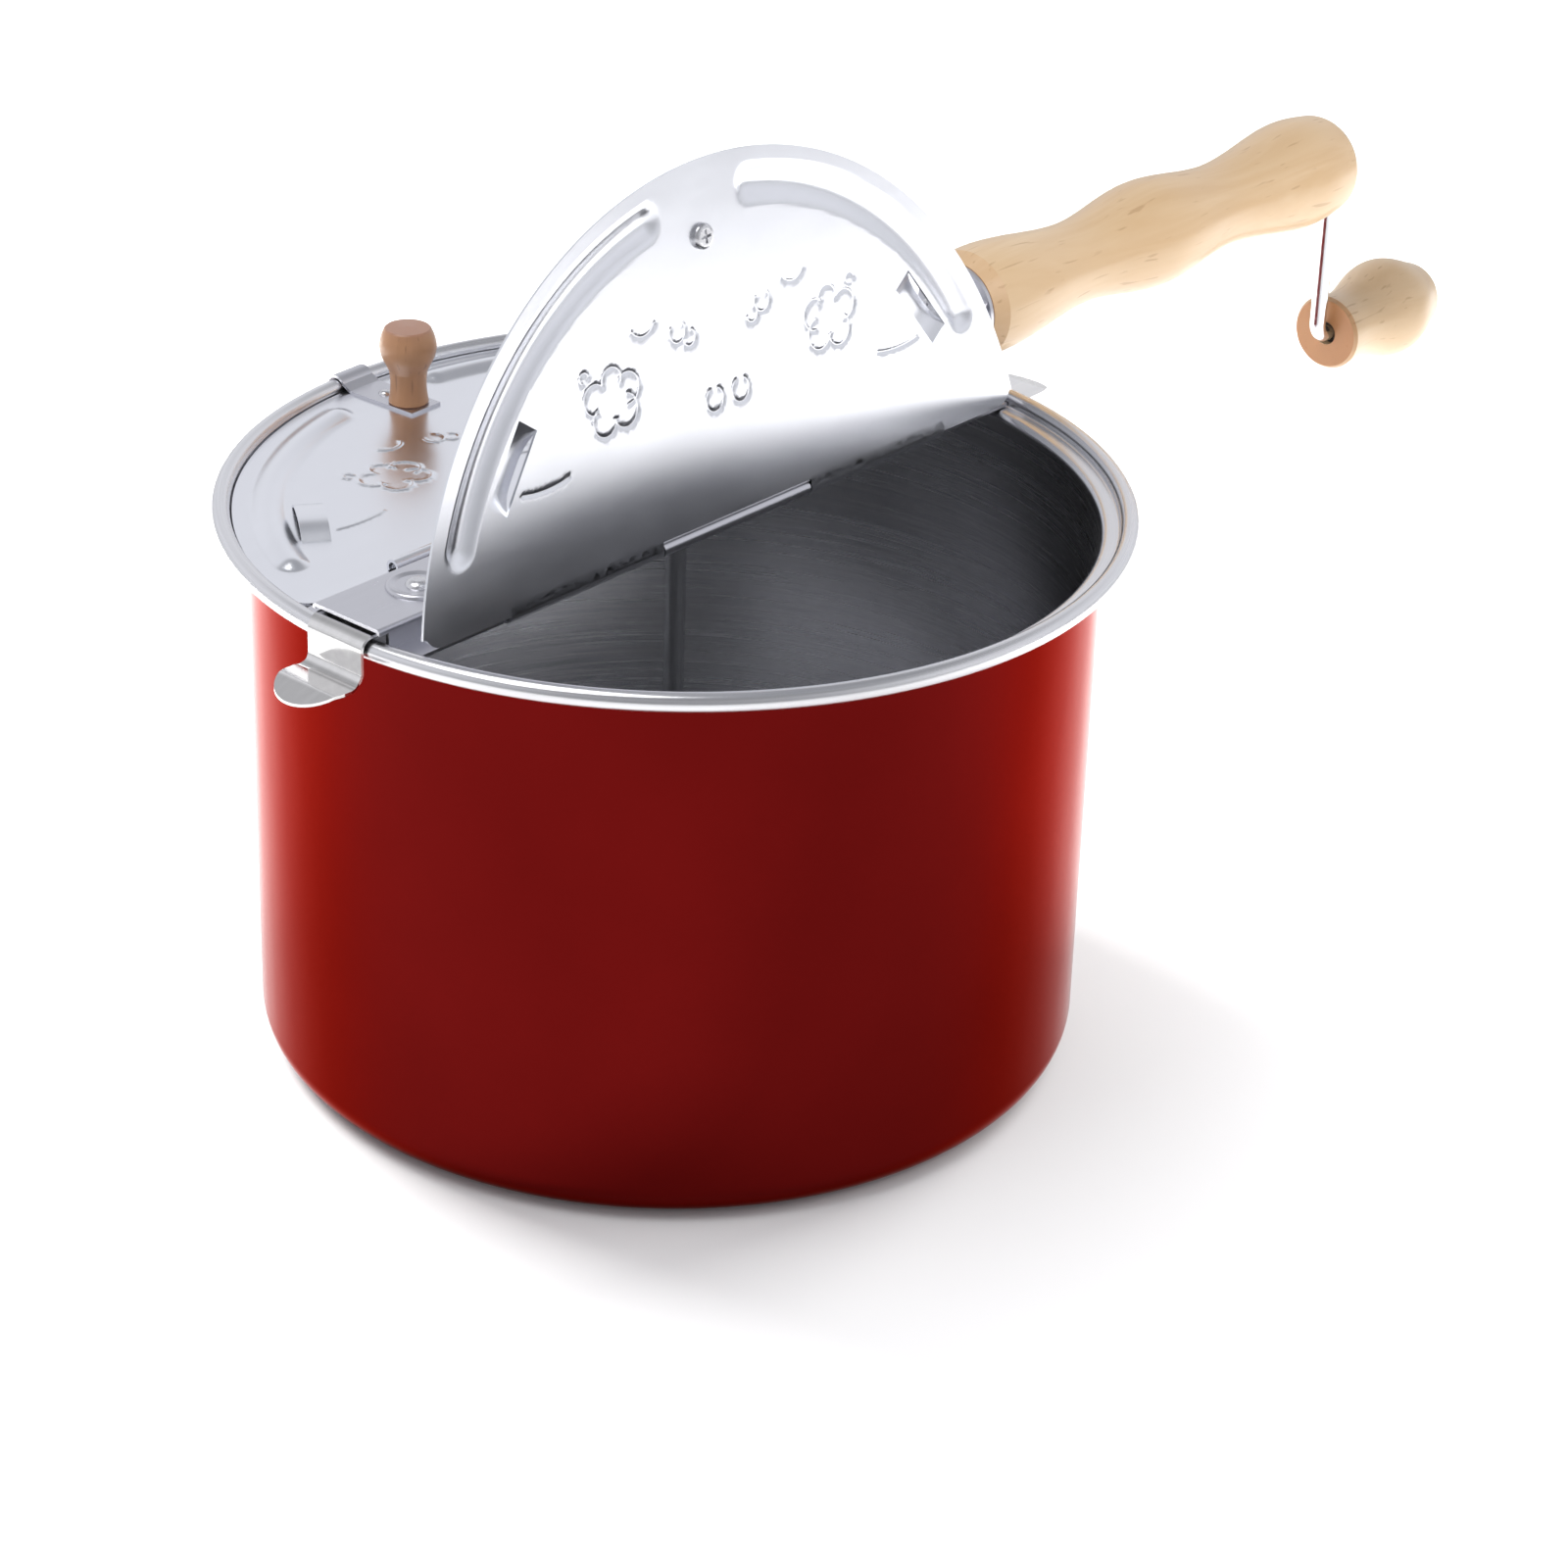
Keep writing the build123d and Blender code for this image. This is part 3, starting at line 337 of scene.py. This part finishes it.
# ---------------------------------------------------------------- mesh helpers
def arc(cx, cy, radius, start, end, step=7.5):
    """Points on an arc, in degrees, both ends included."""
    count = max(2, int(abs(end - start) / step) + 1)
    return [(cx + radius * math.cos(math.radians(start + (end - start) * i / count)),
             cy + radius * math.sin(math.radians(start + (end - start) * i / count)))
            for i in range(count + 1)]


def both_sides(line, thickness):
    """The two faces of a sheet whose middle line is given as (a, b) points."""
    line = [Vector(p) for p in line]
    left, right = [], []
    for i, point in enumerate(line):
        before = line[max(i - 1, 0)]
        after = line[min(i + 1, len(line) - 1)]
        first = (point - before).normalized() if i else (after - point).normalized()
        second = (after - point).normalized() if i < len(line) - 1 else first
        mean = first + second
        normal = Vector((-mean.y, mean.x)).normalized()
        reach = thickness / 2 / max(0.4, normal.dot(Vector((-first.y, first.x))))
        left.append(point + normal * reach)
        right.append(point - normal * reach)
    return left, right


def piece(name, bm, body, materials, replaces, angle):
    """Makes an object from a bmesh, smooth except at sharp edges, riding on a body."""
    bmesh.ops.remove_doubles(bm, verts=bm.verts, dist=1e-7)
    mesh = bpy.data.meshes.new(name)
    bm.to_mesh(mesh)
    bm.free()
    mesh.shade_smooth()
    mesh.set_sharp_from_angle(angle=math.radians(angle))
    made = bpy.data.objects.new(name, mesh)
    bpy.context.scene.collection.objects.link(made)
    for material in materials:
        mesh.materials.append(material)
    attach(made, body)
    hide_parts(*replaces)
    return made


def lathe(bm, outline, steps, pick):
    """Turns a closed (radius, height) outline round Z. pick(i) is the material of the band after point i."""
    rings = []
    for radius, height in outline:
        if radius < 1e-7:
            rings.append([bm.verts.new((0, 0, height))])
            continue
        rings.append([bm.verts.new((radius * math.cos(math.tau * k / steps),
                                    radius * math.sin(math.tau * k / steps),
                                    height)) for k in range(steps)])
    for number, (low, high) in enumerate(zip(rings, rings[1:] + rings[:1])):
        for k in range(steps):
            j = (k + 1) % steps
            corners = [low[k % len(low)], low[j % len(low)], high[j % len(high)], high[k % len(high)]]
            unique = list(dict.fromkeys(corners))
            if len(unique) > 2:
                face = bm.faces.new(unique)
                face.material_index = pick(number)
    bmesh.ops.recalc_face_normals(bm, faces=bm.faces)
    return bm


# ---------------------------------------------------------------- pot
def make_pot():
    """One drawn sheet: floor, drum, ledge, collar and rolled rim, red outside and bare inside."""
    half = WALL / 2
    line = [(0.0, half)]
    for radius in np.arange(20, 105, 12) * MM:  # shallow rings pressed into the floor
        line += [(radius - 1.5 * MM, half), (radius, half + 0.25 * MM), (radius + 1.5 * MM, half)]
    line += arc(BODY_R - BASE_CORNER, BASE_CORNER, BASE_CORNER - half, -90, 0)
    line += arc(BODY_R - half + SHOULDER_R, LEDGE_Z - half - SHOULDER_R, SHOULDER_R, 180, 90)[:-1]
    line += arc(COLLAR_R + half - LEDGE_R, LEDGE_Z - half + LEDGE_R, LEDGE_R, -90, 0)
    line += arc(BEAD_CENTRE_R, BEAD_Z, BEAD_R - half, 180, -150)
    inside, outside = both_sides(line, WALL)
    outline = [(max(p.x, 0.0), p.y) for p in outside] + [(max(p.x, 0.0), p.y) for p in reversed(inside)]
    bead_start = next(i for i, p in enumerate(line) if p[1] > BEAD_Z - 0.6 * MM and p[0] > COLLAR_R)
    corner = next(i for i, p in enumerate(line) if p[0] > BODY_R - BASE_CORNER)

    def pick(number):
        return 0 if corner <= number < bead_start else 1

    bm = lathe(bmesh.new(), outline, 256, pick)
    piece("pot_shell", bm, "pot",
          [red_enamel(), turned_steel("pot_steel", (0.80, 0.80, 0.82), 0.2, 0.3)], ["pot"], 40)


# ---------------------------------------------------------------- half lids
KNOB_TURN = 2.5  # degrees
RIB_R = 113.2 * MM
RIB_HALF_W = 5.2 * MM
RIB_RISE = 1.9 * MM
RIB_ANGLES = (7.5, 67.5)  # from the knob's line, degrees
LOUVRE_R = 102.0 * MM
LOUVRE_ANGLE = 54.0
LOUVRE_SIZE = (24.0 * MM, 7.4 * MM)
CURL_START, CURL_END = 30.4 * MM, 89.0 * MM
LOUVRE_RISE = 3.3 * MM
LOUVRE_STRIP_W = 8.0 * MM
CURL_CUT_Y = HINGE_Y + CURL_R + 0.4 * MM  # the sheet stops here at the cut in the middle
STROKE_HALF_W = 0.75 * MM
STROKE_RISE = 0.32 * MM
# A puff's lobes: direction from its middle, radius in mm, half of the angle that each one spans.
PUFF_LOBES = ((20, 4.2, 115), (95, 3.6, 105), (160, 4.4, 110), (225, 4.6, 120), (300, 4.4, 112))


def strokes():
    """Raised lines pressed into a half lid: lobed puffs, loops and arcs, as (x, y) point lists."""
    made = []
    for side in (-1, 1):
        cx, cy = side * 44.0, 67.5
        for angle, size, spread in PUFF_LOBES:
            px = cx + side * 6.6 * math.cos(math.radians(angle))
            py = cy + 5.4 * math.sin(math.radians(angle))
            facing = angle if side > 0 else 180 - angle
            made.append(arc(px, py, size, facing - spread, facing + spread, 14))
        made.append(arc(cx + side * 9.5, cy + 8.5, 1.6, 0, 240, 24))
        # A long thin arc, a hook behind the knob and a small puff towards the middle.
        made.append(arc(side * 71.5, 92.0, 41.0, 270 - 12, 270 + 12, 3))
        made.append(arc(side * 30.0, 86.5, 5.2, 215, 330, 10))
        made.append(arc(side * 17.0, 79.0, 3.0, 150, 400, 16))
        made.append(arc(side * 12.6, 76.4, 2.3, 190, 420, 18))
    for x in (-5.0, 5.5):
        made.append(arc(x, 57.0, 3.4, 120, 420, 15))
    return [[(x * MM, y * MM) for x, y in line] for line in made]


def stroke_distance(x, y, line):
    """Distance of many points from a polyline."""
    best = np.full(x.shape, 1.0)
    for (ax, ay), (bx, by) in zip(line, line[1:]):
        dx, dy = bx - ax, by - ay
        t = np.clip(((x - ax) * dx + (y - ay) * dy) / (dx * dx + dy * dy), 0, 1)
        best = np.minimum(best, np.hypot(x - ax - t * dx, y - ay - t * dy))
    return best


def lid_rise(x, y, lines):
    """How far the pressed shape lifts the sheet at (x, y)."""
    radius = np.hypot(x, y)
    angle = np.abs(np.degrees(np.arctan2(-x, y)) - KNOB_TURN)
    # distance from the rib's middle line, which ends in half rounds
    past = np.maximum(np.maximum(RIB_ANGLES[0] + 3 - angle, angle - (RIB_ANGLES[1] - 3)), 0)
    off = np.hypot(radius - RIB_R, np.radians(past) * RIB_R)
    rise = RIB_RISE * np.clip(1 - (off / RIB_HALF_W) ** 2, 0, 1) ** 1.3
    for line in lines:
        close = np.clip(1 - (stroke_distance(x, y, line) / STROKE_HALF_W) ** 2, 0, 1)
        rise = np.maximum(rise, STROKE_RISE * close ** 1.2)
    return rise


def around(faces):
    """Faces with their edges and corners, as the bisect operator wants them."""
    edges = {e for f in faces for e in f.edges}
    corners = {v for f in faces for v in f.verts}
    return faces + list(edges) + list(corners)


def louvre_axes(side):
    """The outward and the sideways direction at a louvre, and the middle of it."""
    a = math.radians(90 - side * LOUVRE_ANGLE)
    out = Vector((math.cos(a), math.sin(a), 0))
    return out, Vector((-out.y, out.x, 0)), out * LOUVRE_R


def lid_plan(bm):
    """The flat outline of a half lid as a fine grid of rays from the straight edge to the round one."""
    rays, rings = 300, 84
    corner = 6.0 * MM
    edge_x = math.sqrt((LID_R - corner) ** 2 - (HINGE_Y + corner) ** 2)  # corner round's centre
    columns = []
    for i in range(rays + 1):
        s = -1 + 2 * i / rays
        reach = edge_x + corner * 0.94
        foot_x = s * reach
        # The outer end walks round the arc; near a corner the inner end climbs its round.
        over = max(0.0, abs(foot_x) - edge_x)
        foot_y = HINGE_Y + corner - math.sqrt(max(corner ** 2 - over ** 2, 0.0))
        a = s * math.atan2(reach + 0.3 * corner, HINGE_Y + corner * 0.62)
        top = Vector((LID_R * math.sin(a), LID_R * math.cos(a)))
        foot = Vector((foot_x, foot_y))
        columns.append([bm.verts.new((*foot.lerp(top, j / rings), 0)) for j in range(rings + 1)])
    for left, right in zip(columns, columns[1:]):
        for j in range(rings):
            bm.faces.new((left[j], right[j], right[j + 1], left[j + 1]))


def cut_slots(bm):
    """Opens the two louvre slots and the cut for the bridge's middle knuckle."""
    gone = []
    for side in (-1, 1):
        out, along, centre = louvre_axes(side)
        for axis, reach in ((along, LOUVRE_SIZE[0] / 2), (out, LOUVRE_SIZE[1] / 2)):
            for sign in (-1, 1):
                near = [f for f in bm.faces if (f.calc_center_median() - centre).length < 20 * MM]
                edge = centre + axis * reach * sign
                bmesh.ops.bisect_plane(bm, geom=around(near), plane_co=edge, plane_no=axis)
        for f in bm.faces:
            off = f.calc_center_median() - centre
            if abs(off.dot(along)) < LOUVRE_SIZE[0] / 2 and abs(off.dot(out)) < LOUVRE_SIZE[1] / 2:
                gone.append(f)
    bmesh.ops.delete(bm, geom=gone, context="FACES")
    for co, no in (((-CURL_START, 0, 0), (1, 0, 0)), ((CURL_START, 0, 0), (1, 0, 0)),
                   ((0, CURL_CUT_Y, 0), (0, 1, 0))):
        near = [f for f in bm.faces if f.calc_center_median().y < HINGE_Y + 12 * MM]
        bmesh.ops.bisect_plane(bm, geom=around(near), plane_co=co, plane_no=no)
    gone = [f for f in bm.faces if abs(f.calc_center_median().x) < CURL_START
            and f.calc_center_median().y < CURL_CUT_Y]
    bmesh.ops.delete(bm, geom=gone, context="FACES")


def lid_sheet():
    """The pressed half lid as a closed sheet of even thickness, in the left lid's place."""
    lines = strokes()
    bm = bmesh.new()
    lid_plan(bm)
    cut_slots(bm)
    # Two rounds of finer faces where the sheet is pressed into small shapes.
    for _ in range(2):
        bm.edges.ensure_lookup_table()
        middles = np.array([(e.verts[0].co + e.verts[1].co) / 2 for e in bm.edges])
        close = np.full(len(middles), 1.0)
        for line in lines:
            close = np.minimum(close, stroke_distance(middles[:, 0], middles[:, 1], line))
        fine = [e for e, d in zip(bm.edges, close) if d < STROKE_HALF_W * 1.15]
        bmesh.ops.subdivide_edges(bm, edges=fine, cuts=1, use_grid_fill=True)
    points = np.array([v.co for v in bm.verts])
    rise = lid_rise(points[:, 0], points[:, 1], lines)
    for v, lift in zip(bm.verts, rise):
        v.co.z = LID_TOP + lift
    upper = list(bm.faces)
    copy = bmesh.ops.duplicate(bm, geom=list(bm.verts) + list(bm.edges) + upper)
    lower_verts = [g for g in copy["geom"] if isinstance(g, bmesh.types.BMVert)]
    for v in lower_verts:
        v.co.z -= SHEET
    pairs = copy["edge_map"]
    rim = [(e, pairs[e]) for f in upper for e in f.edges if len(e.link_faces) == 1]
    for edge, other in rim:
        a, b = edge.verts
        c, d = other.verts
        if (a.co.xy - c.co.xy).length > (a.co.xy - d.co.xy).length:
            c, d = d, c
        bm.faces.new((a, b, d, c))
    bmesh.ops.triangulate(bm, faces=[f for f in bm.faces if len(f.verts) > 4])
    bmesh.ops.recalc_face_normals(bm, faces=bm.faces)
    return bm


def add_strip(bm, line, thickness, frame_at, width):
    """Adds a bent strip: line is (along, up) points, frame_at is (origin, along axis, width axis)."""
    origin, along, across = (Vector(v) for v in frame_at)
    up = along.cross(across)
    up *= 1 if up.z >= 0 else -1
    left, right = both_sides(line, thickness)
    loop = left + list(reversed(right))
    sides = []
    for sign in (-1, 1):
        sides.append([bm.verts.new(origin + along * p.x + up * p.y + across * sign * width / 2)
                      for p in loop])
    count = len(loop)
    for k in range(count):
        j = (k + 1) % count
        bm.faces.new((sides[0][k], sides[0][j], sides[1][j], sides[1][k]))
    half = count // 2
    for side in sides:
        for k in range(half - 1):
            bm.faces.new((side[k], side[k + 1], side[count - 2 - k], side[count - 1 - k]))


def lid_details(bm):
    """The arched louvre strips and the rolled hinge knuckles."""
    for side in (-1, 1):
        out, along, centre = louvre_axes(side)
        centre.z = LID_TOP - SHEET / 2
        reach = LOUVRE_SIZE[0] / 2 + 0.4 * MM
        line = [(t * reach, LOUVRE_RISE * (1 - abs(t) ** 3.2) ** 1.2) for t in np.linspace(-1, 1, 25)]
        add_strip(bm, line, SHEET * 0.98, (centre, along, out), LOUVRE_STRIP_W)
    roll = CURL_R - SHEET / 2
    line = [(HINGE_Y + 3 * MM, LID_BOTTOM + SHEET / 2), (HINGE_Y + 0.8 * MM, LID_BOTTOM + SHEET / 2)]
    line += arc(HINGE_Y, HINGE_Z, roll, -90, -400)
    for side in (-1, 1):
        middle = (side * (CURL_START + CURL_END) / 2, 0, 0)
        add_strip(bm, line, SHEET, (middle, (0, 1, 0), (1, 0, 0)), CURL_END - CURL_START)


def make_lids(material):
    """The closed left half lid, and its mirror copy swung open on the right hinge."""
    bm = lid_sheet()
    lid_details(bm)
    bmesh.ops.recalc_face_normals(bm, faces=bm.faces)
    other = bm.copy()
    piece("left_half_lid", bm, "left_half", [material], ["left_lid"], 42)
    hinge = Vector((0, -HINGE_Y, HINGE_Z))
    place = (Matrix.Translation(hinge) @ Matrix.Rotation(math.radians(-LID_OPEN), 4, "X")
             @ Matrix.Translation(-hinge) @ Matrix.Scale(-1, 4, (0, 1, 0)))
    other.transform(place)
    bmesh.ops.reverse_faces(other, faces=other.faces)
    piece("right_half_lid", other, "right_half", [material], ["right_lid"], 42)


# ---------------------------------------------------------------- finishes on the CAD nodes
def finish_node(name, material):
    """Gives a carried-over CAD node its material and soft shading."""
    node = nodes[name]
    node.data.materials.clear()
    node.data.materials.append(material)
    node.data.shade_smooth()
    node.data.set_sharp_from_angle(angle=math.radians(32))


def finish_cad_nodes():
    """One material per slot, and a wood of its own for each lid knob, whose grain follows the lid."""
    plate = steel("plate_steel", (0.62, 0.62, 0.66), 0.26, 0.34, (0.2, 1, 1), 260, 0.01, 0.02)
    clip = steel("clip_steel", (0.82, 0.81, 0.80), 0.10, 0.18, (0.1, 1, 1), 300, 0.02, 0.03)
    fastener = steel("fastener_steel", (0.70, 0.70, 0.72), 0.22, 0.34, (1, 1, 1), 700)
    rod = steel("rod_steel", (0.80, 0.81, 0.83), 0.16, 0.24, (0.05, 1, 0.3), 900, 0.03, 0.03)
    gear = steel("gear_steel", (0.62, 0.61, 0.60), 0.26, 0.4, (1, 1, 1), 500)
    brass = steel("bushing_brass", (0.80, 0.62, 0.33), 0.2, 0.32, (1, 1, 0.2), 700)
    finishes = {
        "stamped_steel": plate, "clip_steel": clip, "fastener_steel": fastener, "rod_steel": rod,
        "gear_steel": gear, "bushing_brass": brass,
        "gear_nylon": plastic("gear_nylon", (0.86, 0.84, 0.76), 0.45),
        "sleeve_plastic": plastic("sleeve_plastic", (0.06, 0.055, 0.05), 0.5),
        "pale_wood": wood("pale_wood", (0.80, 0.60, 0.38), (0.68, 0.46, 0.25), (0.46, 0.27, 0.13),
                          (0.52, 0.22, 0.075)),
    }
    knob_colours = ((0.62, 0.33, 0.17), (0.50, 0.24, 0.11), (0.26, 0.11, 0.05), (0.46, 0.23, 0.15))
    open_turn = math.radians(LID_OPEN)
    knobs = {
        "left_knob": wood("left_knob_wood", *knob_colours, (0.3, 0.2, 0.1), (0, 0, 1)),
        "right_knob": wood("right_knob_wood", *knob_colours, (0.1, 0.4, 0.2),
                           (0, math.sin(open_turn), math.cos(open_turn))),
    }
    for part in frame["record"]["subparts"]:
        name, slot = part["node"], part["material_slot"]
        if not nodes[name].hide_render:
            finish_node(name, knobs.get(name) or finishes[slot])


make_camera()
make_stage()
make_pot()
make_lids(steel("lid_steel", (0.83, 0.84, 0.88), 0.22, 0.27, (0.3, 1, 1), 160, 0.006, 0.012))
finish_cad_nodes()
